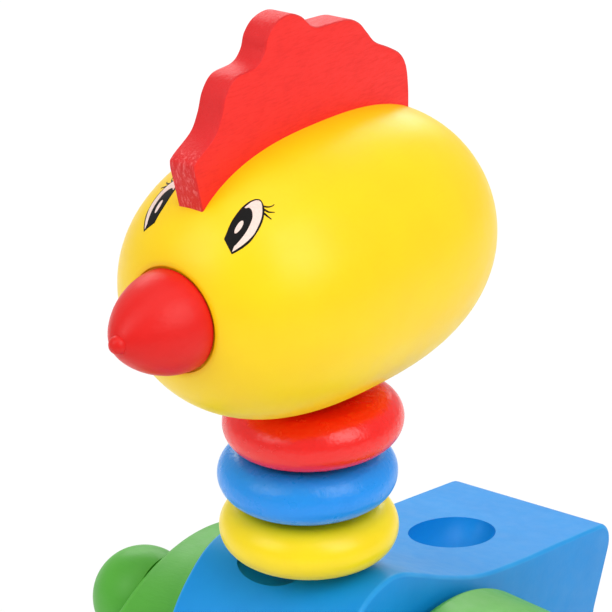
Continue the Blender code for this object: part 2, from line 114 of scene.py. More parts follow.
# Body block.  Its outline's points and heights are measured from the ridge under the neck.
body_width = 33.0
body_edge = 0.8
ridge_z = -5.275
body_points = [
    (-22.0, -46.0), (-23.6, -33.0), (-22.6, -22.5), (-19.6, -14.0), (-15.9, -7.9), (-11.6, -3.8),
    (-6.6, -0.9), (-1.0, 0.0), (3.8, -0.9), (10.0, -3.8), (18.4, -8.0), (29.5, -12.7),
    (43.0, -16.1), (58.0, -19.1), (68.0, -21.1),
]
tail_point = (78.6, -23.2)
undercut_foot = (71.6, -39.6)
belly_height = -79.6
chest_foot_y = -16.0
tail_rounding = 4.5
undercut_rounding = 6.0
rear_foot_rounding = 5.0
chest_foot_rounding = 8.0
neck_dish_place = (-3.4, -4.6, ridge_z - 1.0)
neck_dish_size = (6.6, 7.4, 2.4)  # half sizes
saddle_dish_place = (0.0, 46.5, -22.08)
saddle_dish_size = (6.8, 10.9, 8.0)

# Wheels.
front_axle = (10.0, -54.975)
rear_axle = (65.4986, -76.975)
front_wheel_radius = 40.0
front_wheel_width = 15.4
rear_wheel_radius = 18.0
rear_wheel_width = 13.0
wheel_inner_x = 17.7
axle_bore = 3.3
washer_inner_x = 16.8
washer_radius = 6.5
washer_thickness = 0.6
cap_radius = 7.5
cap_side = 2.14
cap_crown = 2.76
seat_gap = 0.05                   # between a cap or knob and its wheel
knob_radius = 9.1
knob_centre_out = 3.6
knob_throw = 29.7
knob_lead = math.radians(15.0)

# Screw eye.
screw_front = -22.35
screw_z = -47.275
screw_ring_forward = 8.3
screw_ring_radius = 4.4
screw_wire = 0.9                  # the wire's radius

# Light: the surround's strength, and the share of white that the camera sees on the floor.
surround_strength = 0.52
floor_white_share = 0.74
# Soft boxes: azimuth and elevation in degrees, distance, width and height in metres, power.
soft_boxes = {
    "left_soft_box": (-25.0, 40.0, 0.9, 0.5, 0.6, 2.2),
    "right_soft_box": (80.0, 42.0, 0.9, 0.5, 0.7, 3.4),
    "top_soft_box": (30.0, 85.0, 1.0, 0.8, 0.8, 1.8),
    "rear_soft_box": (214.0, 28.0, 1.0, 0.9, 0.5, 4.5),
}


def srgb(red, green, blue):
    """A colour as seen on screen, 0 to 255, turned into linear light."""
    seen = np.array([red, green, blue]) / 255.0
    return tuple(np.where(seen <= 0.04045, seen / 12.92, ((seen + 0.055) / 1.055) ** 2.4))


def arc(centre, radius, start, end, count=12):
    """Points of a circle's arc: centre plus radius times (cosine, sine) of an even sweep."""
    sweep = np.linspace(start, end, count)
    return np.stack([centre[0] + radius * np.cos(sweep), centre[1] + radius * np.sin(sweep)], 1)


def smooth_line(points, steps):
    """A Catmull-Rom curve: each span is the cubic of its two ends and their neighbours."""
    given = np.array(points, float)
    line = np.vstack([2 * given[0] - given[1], given, 2 * given[-1] - given[-2]])
    t = (np.arange(steps) / steps)[None, :, None]
    a, b, c, d = line[:-3, None], line[1:-2, None], line[2:-1, None], line[3:, None]
    spans = 0.5 * (2 * b + (c - a) * t + (2 * a - 5 * b + 4 * c - d) * t ** 2
                   + (3 * b - a - 3 * c + d) * t ** 3)
    return np.vstack([spans.reshape(-1, given.shape[1]), given[-1:]])


def fillet(before, corner, after, radius, count=10):
    """The arc that rounds a corner: its centre lies on the bisector, radius / sine(half) away."""
    before, corner, after = (np.array(p, float) for p in (before, corner, after))
    back = (before - corner) / np.linalg.norm(before - corner)
    ahead = (after - corner) / np.linalg.norm(after - corner)
    half = math.acos(float(back @ ahead)) / 2
    middle = (back + ahead) / np.linalg.norm(back + ahead)
    centre = corner + middle * radius / math.sin(half)
    first = corner + back * radius / math.tan(half) - centre
    last = corner + ahead * radius / math.tan(half) - centre
    start = math.atan2(first[1], first[0])
    sweep = math.atan2(first[0] * last[1] - first[1] * last[0], float(first @ last))
    return arc(centre, radius, start, start + sweep, count)


def turn_about(axis, angle):
    """The 3 by 3 matrix of a turn about a row axis, by the right-hand rule."""
    c, s = math.cos(angle), math.sin(angle)
    rows = {"X": [[1, 0, 0], [0, c, -s], [0, s, c]], "Y": [[c, 0, s], [0, 1, 0], [-s, 0, c]],
            "Z": [[c, -s, 0], [s, c, 0], [0, 0, 1]]}
    return np.array(rows[axis], float)


upright = np.eye(3)
to_left = turn_about("Y", TURN / 4)
to_right = turn_about("Y", -TURN / 4)
head_set = turn_about("Z", -head_turned) @ turn_about("Y", -head_leaned)
to_nose = head_set @ turn_about("X", TURN / 4)
head_centre = np.array(head_place)


def to_row(points):
    """Neck millimetres to the row's metres."""
    return points * MM + neck


def make_mesh(name, points, faces, paint, smooth_angle=35.0):
    """A mesh object at the origin from points in neck millimetres and faces as lists of points."""
    mesh = bpy.data.meshes.new(name)
    mesh.from_pydata(to_row(points), [], faces)
    mesh.validate()
    mesh.shade_smooth()
    mesh.set_sharp_from_angle(angle=math.radians(smooth_angle))
    made = bpy.data.objects.new(name, mesh)
    bpy.context.scene.collection.objects.link(made)
    mesh.materials.append(paint)
    return made


def grid_faces(rows, columns, close_rows, close_columns):
    """The quads of a grid, wrapped round in either direction."""
    r = np.arange(rows if close_rows else rows - 1)[:, None]
    c = np.arange(columns if close_columns else columns - 1)[None, :]
    after_r, after_c = (r + 1) % rows, (c + 1) % columns
    quads = np.stack([r * columns + c, r * columns + after_c, after_r * columns + after_c,
                      after_r * columns + c], -1)
    return quads.reshape(-1, 4)


def turned(name, profile, paint, origin=(0, 0, 0), turn=upright, sides=96, angle=35.0):
    """A solid of revolution: (radius, height) points swept round its own +Z, poles closed.

    A point at radius r and height h lies at (r cos a, r sin a, h) for every angle a.
    A profile whose first and last points are off the axis is a closed ring section.
    """
    profile = np.array(profile, float)
    solid = profile[0, 0] < 1e-6
    body = profile[1:-1] if solid else profile
    sweep = np.arange(sides) / sides * TURN
    ring = np.stack([body[:, None, 0] * np.cos(sweep), body[:, None, 0] * np.sin(sweep),
                     np.broadcast_to(body[:, None, 1], (len(body), sides))], -1)
    points = ring.reshape(-1, 3)
    faces = grid_faces(len(body), sides, not solid, True).tolist()
    if solid:
        poles = np.array([[0, 0, profile[0, 1]], [0, 0, profile[-1, 1]]])
        points = np.vstack([points, poles])
        here = np.arange(sides)
        after = (here + 1) % sides
        last_row = (len(body) - 1) * sides
        south, north = len(points) - 2, len(points) - 1
        faces += np.stack([after, here, np.full(sides, south)], 1).tolist()
        faces += np.stack([last_row + here, last_row + after, np.full(sides, north)], 1).tolist()
    return make_mesh(name, points @ turn.T + np.array(origin, float), faces, paint, angle)


def tube(name, path, radius, paint, sides=12, side_hint=(0, 0, 1)):
    """A round wire: circles square to a path, laid by the path's tangent and a fixed side hint."""
    path = np.array(path, float)
    ahead = np.gradient(path, axis=0)
    ahead /= np.linalg.norm(ahead, axis=1, keepdims=True)
    hint = np.broadcast_to(np.array(side_hint, float), path.shape)
    across = np.cross(ahead, hint)
    across /= np.linalg.norm(across, axis=1, keepdims=True)
    over = np.cross(across, ahead)
    sweep = (np.arange(sides) / sides * TURN)[None, :, None]
    points = path[:, None] + radius * (across[:, None] * np.cos(sweep) + over[:, None] * np.sin(sweep))
    count = len(path)
    faces = grid_faces(count, sides, False, True)[:, ::-1].tolist()
    faces.append(list(range(sides)))
    faces.append(list(range((count - 1) * sides, count * sides))[::-1])
    return make_mesh(name, points.reshape(-1, 3), faces, paint)


def eased_plate(name, outline, width, edge, paint, steps=5, origin=(0, 0, 0), turn=upright):
    """A board sawn to an outline, its two rims eased to a quarter round.

    Across the board the rim's angle a runs from 0 to 90 degrees: the outline is drawn in by
    edge (1 - sin a) along its normal while the face lies at half the width less edge (1 - cos a).
    The attribute rim is 1 on the eased strip and 0 elsewhere; side is 1 on the sawn edge.
    """
    outline = np.array(outline, float)
    if np.sum(np.cross(outline, np.roll(outline, -1, 0))) < 0:
        outline = outline[::-1]
    along = np.roll(outline, -1, 0) - np.roll(outline, 1, 0)
    along /= np.linalg.norm(along, axis=1, keepdims=True)
    inward = np.stack([-along[:, 1], along[:, 0]], 1)
    a = np.linspace(0, TURN / 4, steps + 1)
    inset = np.concatenate([edge * (1 - np.sin(a)), edge * (1 - np.sin(a[::-1]))])
    x = width / 2 - edge * (1 - np.cos(a))
    x = np.concatenate([x, -x[::-1]])
    rows = outline[None] + inward[None] * inset[:, None, None]
    count = len(outline)
    points = np.concatenate([np.broadcast_to(x[:, None, None], (len(x), count, 1)), rows], 2)
    faces = grid_faces(len(x), count, False, True).tolist()
    faces.append(list(range(count))[::-1])
    faces.append(list(range((len(x) - 1) * count, len(x) * count)))
    points = points.reshape(-1, 3) @ turn.T + np.array(origin, float)
    made = make_mesh(name, points, faces, paint, 50.0)
    rim = np.repeat((inset > 0) & (inset < edge * 0.999), count).astype(np.float32)
    side = np.repeat(inset < edge * 0.5, count).astype(np.float32)
    for label, values in (("rim", rim), ("side", side)):
        made.data.attributes.new(label, "FLOAT", "POINT").data.foreach_set("value", values)
    return made


def cut(target, *tools):
    """Take closed cutters out of a piece and drop them."""
    for tool in tools:
        change = target.modifiers.new("cut", "BOOLEAN")
        change.operation = "DIFFERENCE"
        change.solver = "EXACT"
        change.object = tool
    bpy.context.view_layer.update()
    whole = target.evaluated_get(bpy.context.evaluated_depsgraph_get())
    mesh = bpy.data.meshes.new_from_object(whole)
    target.modifiers.clear()
    target.data = mesh
    mesh.shade_smooth()
    mesh.set_sharp_from_angle(angle=math.radians(35))
    for tool in tools:
        bpy.data.objects.remove(tool)


def ellipsoid(name, centre, radii, paint):
    """An ellipsoid: a half circle turned round and stretched to its three half sizes."""
    half = arc((0, 0), 1.0, -TURN / 4, TURN / 4, 40)
    half[[0, -1], 0] = 0.0
    made = turned(name, half, paint, sides=80)
    co = np.empty(len(made.data.vertices) * 3)
    made.data.vertices.foreach_get("co", co)
    unit = (co.reshape(-1, 3) - neck) / MM
    made.data.vertices.foreach_set("co", to_row(unit * np.array(radii) + np.array(centre)).ravel())
    return made


def peg(name, radius, low, high, paint, origin=(0, 0, 0), turn=upright):
    """A plain rod, used as a drill."""
    return turned(name, [(0, low), (radius, low), (radius, high), (0, high)], paint, origin, turn, 48)


# Materials.


class Shader:
    """A node tree with short calls for the few nodes that the paints use."""

    def __init__(self, name):
        self.material = bpy.data.materials.new(name)
        self.material.use_nodes = True
        self.tree = self.material.node_tree
        self.surface = self.tree.nodes["Principled BSDF"]
        self.place = self.add("ShaderNodeTexCoord").outputs["Object"]

    def add(self, kind, **inputs):
        """One node; numbers and sockets are given by input name."""
        node = self.tree.nodes.new(kind)
        for label, value in inputs.items():
            self.feed(node.inputs[label.replace("_", " ")], value)
        return node

    def feed(self, socket, value):
        """Link a socket, or set it to a plain value."""
        if isinstance(value, bpy.types.NodeSocket):
            self.tree.links.new(value, socket)
        else:
            socket.default_value = value

    def noise(self, wave, detail=3.0, roughness=0.5, stretch=None):
        """Noise with features of a wavelength in millimetres, drawn out along an axis if asked."""
        place = self.place
        if stretch:
            mapping = self.add("ShaderNodeMapping", Vector=place)
            mapping.inputs["Scale"].default_value = stretch
            place = mapping.outputs["Vector"]
        made = self.add("ShaderNodeTexNoise", Vector=place, Scale=1.0 / (wave * MM), Detail=detail,
                        Roughness=roughness)
        return made.outputs["Fac"]

    def ramp(self, value, low, high, to_low=0.0, to_high=1.0):
        """A value clamped between two limits and spread over a new range."""
        made = self.add("ShaderNodeMapRange", Value=value)
        for label, number in zip(("From Min", "From Max", "To Min", "To Max"), (low, high, to_low, to_high)):
            made.inputs[label].default_value = number
        return made.outputs["Result"]

    def times(self, first, second):
        """Two values multiplied."""
        node = self.add("ShaderNodeMath")
        node.operation = "MULTIPLY"
        self.feed(node.inputs[0], first)
        self.feed(node.inputs[1], second)
        return node.outputs[0]

    def blend(self, share, first, second):
        """Two colours mixed by a share."""
        node = self.add("ShaderNodeMix")
        node.data_type = "RGBA"
        self.feed(node.inputs["Factor"], share)
        for socket, value in zip((node.inputs[6], node.inputs[7]), (first, second)):
            self.feed(socket, value if isinstance(value, bpy.types.NodeSocket) else (*value, 1.0))
        return node.outputs[2]

    def attribute(self, label):
        """A value stored on the mesh."""
        node = self.add("ShaderNodeAttribute")
        node.attribute_name = label
        return node.outputs["Fac"]

    def bump(self, *layers):
        """Bumps laid over each other, each (height, depth in millimetres)."""
        normal = None
        for height, depth in layers:
            node = self.add("ShaderNodeBump", Height=height, Distance=depth * MM, Strength=1.0)
            if normal is not None:
                self.feed(node.inputs["Normal"], normal)
            normal = node.outputs["Normal"]
        self.feed(self.surface.inputs["Normal"], normal)

    def finish(self, colour, roughness, **numbers):
        """Set the surface's colour, roughness and any plain numbers."""
        value = colour if isinstance(colour, bpy.types.NodeSocket) else (*colour, 1.0)
        self.feed(self.surface.inputs["Base Color"], value)
        self.feed(self.surface.inputs["Roughness"], roughness)
        for label, number in numbers.items():
            self.surface.inputs[label.replace("_", " ")].default_value = number
        return self.material


def brushed_paint(name, colour, shade, roughness, peel, grain, grain_stretch, shine=0.3, rim_highlight=None):
    """Paint over wood: clouded colour, orange-peel waves, and grain that shows through.

    peel and grain are the depths of the two bumps in millimetres.  Where the rim highlight colour is
    given, the mesh's rim attribute lightens the paint there, a painted highlight along the eased
    edges.  shine is the strength of the reflection.
    """
    made = Shader(name)
    cloud = made.ramp(made.noise(9.0, 2.0), 0.35, 0.7)
    tone = made.blend(made.times(cloud, 0.35), colour, shade)
    fibre = made.noise(0.55, 4.0, 0.6, grain_stretch)
    tone = made.blend(made.ramp(fibre, 0.55, 0.8, 0.0, 0.25), tone, shade)
    if rim_highlight:
        # Painted highlight: the eased rim strip is lightened toward the rim highlight colour, in patches.
        edge_highlight = made.times(made.attribute("rim"), made.ramp(made.noise(6.0, 2.0), 0.3, 0.7, 0.5, 1.0))
        tone = made.blend(edge_highlight, tone, rim_highlight)
    waves = made.noise(1.1, 2.0, 0.5)
    fine = made.noise(0.45, 2.0, 0.6)
    made.bump((waves, peel), (fine, peel * 0.35), (fibre, grain))
    gloss = made.ramp(made.noise(2.5, 3.0), 0.3, 0.7, roughness * 0.88, roughness * 1.12)
    return made.finish(tone, gloss, Specular_IOR_Level=shine)


def comb_paint():
    """Thin red paint on a wooden plate: brushed, grainy faces and darker, rougher sawn edges.

    The sawn edge at the comb's front has pale streaks.
    """
    made = Shader("comb_red_paint")
    face, deep, edge = srgb(250, 40, 34), srgb(230, 26, 24), srgb(222, 28, 30)
    grain = made.noise(0.35, 5.0, 0.65, (1.0, 0.12, 1.0))
    blotch = made.noise(4.0, 3.0)
    tone = made.blend(made.ramp(grain, 0.45, 0.75, 0.0, 0.55), face, deep)
    tone = made.blend(made.ramp(blotch, 0.4, 0.75, 0.0, 0.35), tone, deep)
    side = made.attribute("side")
    tone = made.blend(side, tone, edge)
    place = made.add("ShaderNodeSeparateXYZ", Vector=made.place)
    front_y = neck[1] - 26.0 * MM
    front = made.times(side, made.ramp(place.outputs["Y"], front_y - MM, front_y, 1.0, 0.0))
    streak = made.ramp(made.noise(0.45, 4.0, 0.7, (1.0, 1.0, 0.25)), 0.5, 0.66, 0.0, 0.4)
    tone = made.blend(made.times(front, streak), tone, srgb(255, 150, 150))
    saw = made.noise(0.5, 4.0, 0.7)
    made.bump((grain, 0.05), (made.times(saw, side), 0.12), (made.noise(0.7, 2.0), 0.03))
    gloss = made.ramp(grain, 0.3, 0.7, 0.42, 0.6)
    return made.finish(tone, gloss, Specular_IOR_Level=0.35)


def bare_beech():
    """Bare beech dowel: pale wood with flecks along the rod."""
    made = Shader("bare_beech")
    fleck = made.noise(0.6, 4.0, 0.6, (0.15, 1.0, 1.0))
    tone = made.blend(made.ramp(fleck, 0.35, 0.75), srgb(222, 190, 146), srgb(190, 148, 100))
    made.bump((fleck, 0.04),)
    return made.finish(tone, made.ramp(fleck, 0.3, 0.7, 0.55, 0.7))


def zinc_wire(name, roughness):
    """Bright zinc-plated steel with faint drawing marks."""
    made = Shader(name)
    mark = made.noise(0.3, 4.0, 0.6)
    tone = made.blend(made.ramp(mark, 0.3, 0.7), srgb(196, 198, 202), srgb(172, 174, 178))
    made.bump((mark, 0.01),)
    return made.finish(tone, made.ramp(mark, 0.3, 0.7, roughness * 0.8, roughness * 1.2), Metallic=1.0)


def printing_ink(name, colour, other, roughness):
    """Pad-printed ink with a slightly uneven cover."""
    made = Shader(name)
    cover = made.noise(0.35, 3.0, 0.6)
    tone = made.blend(made.ramp(cover, 0.35, 0.7), colour, other)
    made.bump((cover, 0.008),)
    return made.finish(tone, made.ramp(cover, 0.3, 0.7, roughness * 0.9, roughness * 1.1),
                       Specular_IOR_Level=0.15)


along_toy = (1.0, 0.1, 1.0)
across_toy = (0.1, 1.0, 1.0)
up_neck = (1.0, 1.0, 0.15)
head_yellow = brushed_paint("head_yellow_paint", srgb(255, 216, 8), srgb(252, 204, 4), 0.36, 0.016, 0.006,
                            along_toy, 0.34)
ring_yellow = brushed_paint("ring_yellow_paint", srgb(255, 226, 14), srgb(250, 212, 8), 0.32, 0.014, 0.008,
                            up_neck, 0.4)
ring_blue = brushed_paint("ring_blue_paint", srgb(22, 150, 246), srgb(14, 136, 234), 0.3, 0.11, 0.02,
                          up_neck, 0.45)
ring_red = brushed_paint("ring_red_paint", srgb(250, 20, 6), srgb(238, 12, 5), 0.25, 0.09, 0.03,
                         up_neck, 0.6)
beak_red = brushed_paint("beak_red_paint", srgb(228, 24, 18), srgb(212, 16, 14), 0.4, 0.035, 0.02,
                         along_toy, 0.3)
# The body's last colour is a painted highlight laid along its eased edges.
body_blue = brushed_paint("body_blue_paint", srgb(12, 144, 224), srgb(8, 132, 212), 0.42, 0.02, 0.015,
                          along_toy, 0.2, srgb(40, 158, 230))
wheel_green = brushed_paint("wheel_green_paint", srgb(86, 176, 58), srgb(70, 156, 48), 0.42, 0.025, 0.02,
                            across_toy, 0.3)
comb_red = comb_paint()
beech = bare_beech()
spring_steel = zinc_wire("spring_steel", 0.3)
washer_steel = zinc_wire("washer_steel", 0.4)
ink_black = printing_ink("eye_black_ink", srgb(8, 7, 7), srgb(16, 14, 14), 0.45)
ink_white = printing_ink("eye_white_ink", srgb(246, 224, 212), srgb(240, 212, 200), 0.4)


def keep(piece, body, slot, *nodes):
    """Let a finished piece ride on a body and stand for CAD nodes."""
    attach(piece, body)
    if nodes:
        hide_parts(*nodes)


# Neck.


def build_rings():
    """Three turned beads: a bored disc whose whole edge is a half round."""
    half = ring_thickness / 2
    edge = half - ring_crown
    bore = ring_bore + ring_easing
    loop = np.vstack([
        arc((bore, -half + ring_easing), ring_easing, TURN / 2, TURN * 0.75, 6),
        arc((ring_radius - edge, 0.0), edge, -TURN / 4, TURN / 4, 40),
        arc((bore, half - ring_easing), ring_easing, TURN / 4, TURN / 2, 6),
    ])
    paints = (ring_yellow, ring_blue, ring_red)
    slots = ("yellow_paint", "ring_blue_paint", "red_paint")
    for place, node in enumerate(("lower_ring", "middle_ring", "upper_ring")):
        lean = turn_about("Y", -math.radians(ring_leans[place]))
        centre = (ring_shifts[place], 0.0, place * ring_pitch)
        ring = turned(node + "_bead", loop, paints[place], centre, lean, 128)
        keep(ring, node, slots[place], node)


def build_spring():
    """The neck's coil: a helix of even pitch, in four lengths split at the rings' centres."""
    share = np.linspace(0, 1, spring_turns * points_per_turn + 1)
    angle = TURN * spring_turns * share
    height = spring_low + (spring_high - spring_low) * share
    path = np.stack([spring_radius * np.cos(angle), spring_radius * np.sin(angle), height], 1)
    levels = (spring_low, 0.0, ring_pitch, 2 * ring_pitch, spring_high)
    for place in range(4):
        first, last = np.searchsorted(height, levels[place:place + 2])
        coil = tube("neck_coil_%d" % (place + 1), path[first:last + 1], spring_wire, spring_steel, 10)
        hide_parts("neck_spring")
        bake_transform(coil)


# Head.


def head_row(place):
    """The head's radius at a place along its axis, in millimetres from its middle.

    The outline is a superellipse: (place / half length)^n + (radius / head radius)^n = 1.
    """
    share = np.clip(np.abs(np.asarray(place, float)) / head_half_length, 0.0, 1.0)
    return head_radius * (1.0 - share ** head_fullness) ** (1.0 / head_fullness)


def on_head(place, angle, lift):
    """Points on the head at a place along its axis and an angle from the crown, in degrees."""
    place = np.asarray(place, float)
    turn = np.radians(np.asarray(angle, float))
    radius = head_row(place)
    step = 0.05
    slope = (head_row(place + step) - head_row(place - step)) / (2 * step)
    length = np.sqrt(1.0 + slope ** 2)
    radius = radius + lift / length
    height = place - lift * slope / length
    side, rear, up = head_set.T
    nose = -rear
    return (head_centre + height[..., None] * nose
            + radius[..., None] * (np.sin(turn)[..., None] * side + np.cos(turn)[..., None] * up))


def build_head():
    """The turned head with its beak's spot face, the comb's slot and the spring's bore."""
    sweep = np.linspace(-TURN / 4, TURN / 4, 121)
    place = head_half_length * np.sin(sweep)
    outside = np.stack([head_row(place), place], 1)[place < spot_face_rim]
    outside[0, 0] = 0.0
    corner = (spot_face_radius - spot_face_easing, spot_face_at + spot_face_easing)
    face = arc(corner, spot_face_easing, 0.0, -TURN / 4, 5)
    rounded_rim = [(spot_face_radius + 0.25, spot_face_rim), (spot_face_radius, spot_face_rim - 0.08)]
    profile = np.vstack([outside, rounded_rim, face, [(0.0, spot_face_at)]])
    head = turned("chick_head", profile, head_yellow, head_centre, to_nose, 160)
    front = comb_points[0][0] - comb_clearance
    back = comb_points[-1][0] + comb_clearance
    foot = comb_foot - comb_clearance
    front_foot = head_radius + comb_points[0][1]
    slot_line = [(front, foot), (back, foot), (back, comb_slot_top), (comb_slot_front, comb_slot_top),
                 (comb_slot_front, head_radius), (front, front_foot)]
    slot = eased_plate("slot_cut", slot_line, comb_thickness + 2 * comb_clearance, 0.01, head_yellow, 1,
                       head_centre, head_set)
    below_head = head_place[2] - head_radius - 5.0
    bore = peg("bore_cut", head_bore_radius, below_head, head_bore_end, head_yellow)
    cut(head, slot, bore)
    keep(head, "head", "yellow_paint", "head")


def build_beak():
    """The beak: a cosine bulge from a rounded foot to a blunt nib."""
    start = spot_face_at + beak_gap
    tip = spot_face_at + beak_length
    foot = arc((beak_radius - beak_edge, start + beak_edge), beak_edge, -TURN / 4, 0.0, 14)
    share = np.linspace(0, 1, 50)[1:]
    bulge = np.cos(share * TURN / 4) ** beak_bulge
    cone = np.stack([beak_nib + (beak_radius - beak_nib) * bulge,
                     start + beak_edge + (tip - beak_nib - start - beak_edge) * share], 1)
    nib = arc((0.0, tip - beak_nib), beak_nib, 0.0, TURN / 4, 12)[1:]
    nib[-1, 0] = 0.0
    profile = np.vstack([[(0.0, start)], foot, cone, nib])
    keep(turned("chick_beak", profile, beak_red, head_centre, to_nose, 96), "head", "red_paint", "beak")


def build_comb():
    """The comb: a scalloped plate, its foot in the head's slot."""
    top = smooth_line([(y, head_radius + z) for y, z in comb_points], 10)
    outline = np.vstack([top, [(top[-1, 0], comb_foot), (top[0, 0], comb_foot)]])
    comb = eased_plate("chick_comb", outline, comb_thickness, comb_edge, comb_red, 5, head_centre, head_set)
    keep(comb, "head", "red_paint", "comb")


# The eye as printed on the toy's left: (place along the head's axis, degrees from the crown).
eye_front_edge = [(22.2, 24.7), (23.05, 23.8), (24.0, 23.6), (25.05, 23.9), (26.95, 25.6), (28.9, 29.45)]
eye_foot_edge = [(28.9, 29.45), (29.1, 33.0), (29.4, 39.3)]
eye_rear_edge = [(22.2, 24.7), (21.8, 26.15), (21.85, 28.0), (22.5, 31.7), (24.2, 36.25), (26.55, 39.8),
                 (27.75, 40.4), (28.75, 40.0), (29.4, 39.3)]
white_front_edge = [(22.3, 25.5), (23.0, 24.75), (24.25, 24.6)]
iris_rear_edge = [(24.25, 24.6), (23.85, 25.8), (23.8, 27.6), (24.15, 29.7), (24.85, 31.9), (26.55, 34.9),
                  (28.2, 36.5), (28.65, 36.7), (29.2, 38.3)]
white_rear_edge = [(22.3, 25.5), (22.0, 26.8), (22.2, 28.9), (23.45, 33.35), (25.45, 37.4), (26.65, 38.7),
                   (27.75, 39.05), (28.75, 38.75), (29.2, 38.3)]
glint_centre = (26.65, 30.3)
glint_long = (-0.68, -1.65)
glint_wide = (-0.62, 0.34)
lashes = [
    [(22.2, 30.0), (21.8, 31.5), (21.3, 32.2), (20.8, 32.2)],
    [(22.5, 31.2), (22.3, 33.4), (22.0, 34.4), (21.6, 35.3)],
    [(22.9, 32.8), (22.85, 34.6), (22.7, 37.1)],
]
# The far eye is printed a little further forward and nearer the crown.
far_eye_shift = (0.75, -6.0)
black_ink_lift = 0.03
white_ink_lift = 0.06
ink_thickness = 0.08


def even(points, count):
    """A line on the head walked in even steps, a degree round it counted as 0.33 mm."""
    points = np.array(points, float)
    gaps = np.linalg.norm(np.diff(points, axis=0) * (1.0, 0.33), axis=1)
    walked = np.concatenate([[0.0], np.cumsum(gaps)])
    wanted = np.linspace(0.0, walked[-1], count)
    return np.stack([np.interp(wanted, walked, points[:, axis]) for axis in range(2)], 1)


def sheet_between(name, first, second, lift, mirror, ink, columns=24, rows=60):
    """A printed patch: straight spans between two lines on the head, lifted off its surface."""
    first, second = even(first, rows), even(second, rows)
    across = np.linspace(0.0, 1.0, columns)[None, :, None]
    spot = first[:, None] * (1.0 - across) + second[:, None] * across
    if mirror:
        spot = (spot + np.array(far_eye_shift)) * np.array([1.0, -1.0])
    points = on_head(spot[..., 0], spot[..., 1], lift)
    # The patch's faces point out of the head, so its thickness goes inward.
    middle = points[rows // 2, columns // 2]
    to_side = points[rows // 2, columns // 2 + 1] - middle
    to_next = points[rows // 2 + 1, columns // 2] - middle
    if np.cross(to_side, to_next) @ (middle - head_centre) < 0:
        points = points[:, ::-1]
    faces = grid_faces(rows, columns, False, False)
    patch = make_mesh(name, points.reshape(-1, 3), faces.tolist(), ink)
    film = patch.modifiers.new("film", "SOLIDIFY")
    film.thickness = ink_thickness * MM
    film.offset = -1.0
    keep(patch, "head", "yellow_paint")


def build_eye(side, mirror):
    """One printed eye: a black almond, its white crescent, a glint and three lashes."""
    sides_of_eye = (np.vstack([smooth_line(eye_front_edge, 6), eye_foot_edge[1:]]),
                    smooth_line(eye_rear_edge, 6))
    sheet_between(side + "_eye_black", *sides_of_eye, black_ink_lift, mirror, ink_black)
    white_front = np.vstack([smooth_line(white_front_edge, 6), smooth_line(iris_rear_edge, 6)[1:]])
    white_rear = smooth_line(white_rear_edge, 6)
    sheet_between(side + "_eye_white", white_front, white_rear, white_ink_lift, mirror, ink_white)
    sweep = np.linspace(-TURN / 4, TURN / 4, 30)[:, None]
    middle, wide, tall = np.array(glint_centre), np.array(glint_wide), np.array(glint_long)
    right = middle + tall * np.sin(sweep) + wide * np.cos(sweep)
    left = middle + tall * np.sin(sweep) - wide * np.cos(sweep)
    sheet_between(side + "_eye_glint", left, right, white_ink_lift, mirror, ink_white, 12, 30)
    for number, lash in enumerate(lashes):
        line = smooth_line(lash, 8)
        width = 0.15 * (1.0 - 0.55 * np.linspace(0, 1, len(line)) ** 2)[:, None] * (1.0, 2.2)
        turn = np.gradient(line, axis=0) * (1.0, 0.4)
        turn /= np.linalg.norm(turn, axis=1, keepdims=True)
        normal = np.stack([-turn[:, 1], turn[:, 0]], 1) * width
        sheet_between("%s_lash_%d" % (side, number + 1), line - normal, line + normal, black_ink_lift,
                      mirror, ink_black, 4, 24)


# Body.


def body_outline():
    """The block's outline from the chest over the back and round the belly."""
    top = smooth_line([(y, ridge_z + z) for y, z in body_points], 12)
    belly = ridge_z + belly_height
    tail = (tail_point[0], ridge_z + tail_point[1])
    foot = (undercut_foot[0], ridge_z + undercut_foot[1])
    rear = (undercut_foot[0], belly)
    chest = (chest_foot_y, belly)
    return np.vstack([
        top,
        fillet(top[-1], tail, foot, tail_rounding),
        fillet(tail, foot, rear, undercut_rounding),
        fillet(foot, rear, chest, rear_foot_rounding),
        fillet(rear, chest, top[0], chest_foot_rounding),
    ])


def build_body():
    """The block with its dish under the neck, its saddle dish and its bores."""
    block = eased_plate("chick_body", body_outline(), body_width, body_edge, body_blue)
    tools = [
        ellipsoid("neck_dish_cut", neck_dish_place, neck_dish_size, body_blue),
        ellipsoid("saddle_dish_cut", saddle_dish_place, saddle_dish_size, body_blue),
        peg("spring_cut", body_bore_radius, body_bore_floor, ridge_z, body_blue),
    ]
    for y, z in (front_axle, rear_axle):
        tools.append(peg("axle_cut", axle_bore, -20.0, 20.0, body_blue, (0, y, z), to_left))
    cut(block, *tools)
    # The cuts spoil the rim attribute, so it is written again from the points' places.
    mesh = block.data
    co = np.empty(len(mesh.vertices) * 3)
    mesh.vertices.foreach_get("co", co)
    off = np.abs((co.reshape(-1, 3)[:, 0] - neck[0]) / MM)
    rim = ((off > body_width / 2 - body_edge) & (off < body_width / 2 - 0.02)).astype(np.float32)
    mesh.attributes["rim"].data.foreach_set("value", rim)
    keep(block, "chassis", "body_blue_paint", "body_block")


def build_screw_eye():
    """The screw eye: a shank along +Y that bends into a ring standing upright."""
    centre_y = screw_front - screw_ring_forward
    loop_angle = np.linspace(0.0, -0.965 * TURN, 64)
    ring = np.stack([np.zeros(64), centre_y + screw_ring_radius * np.cos(loop_angle),
                     screw_z + screw_ring_radius * np.sin(loop_angle)], 1)
    shank_y = np.linspace(screw_front + 11.0, ring[0, 1] + 1.2, 20)
    shank = np.stack([np.zeros(20), shank_y, np.full(20, screw_z)], 1)
    bend = smooth_line([shank[-1], ring[0] + (0, 0.25, -0.35), ring[3]], 6)
    path = np.vstack([shank[:-1], bend[:-1], ring[3:]])
    eye = tube("pull_cord_eye", path, screw_wire, washer_steel, 14, (1, 0, 0))
    keep(eye, "chassis", "bright_steel", "cord_eye")


# Wheels.


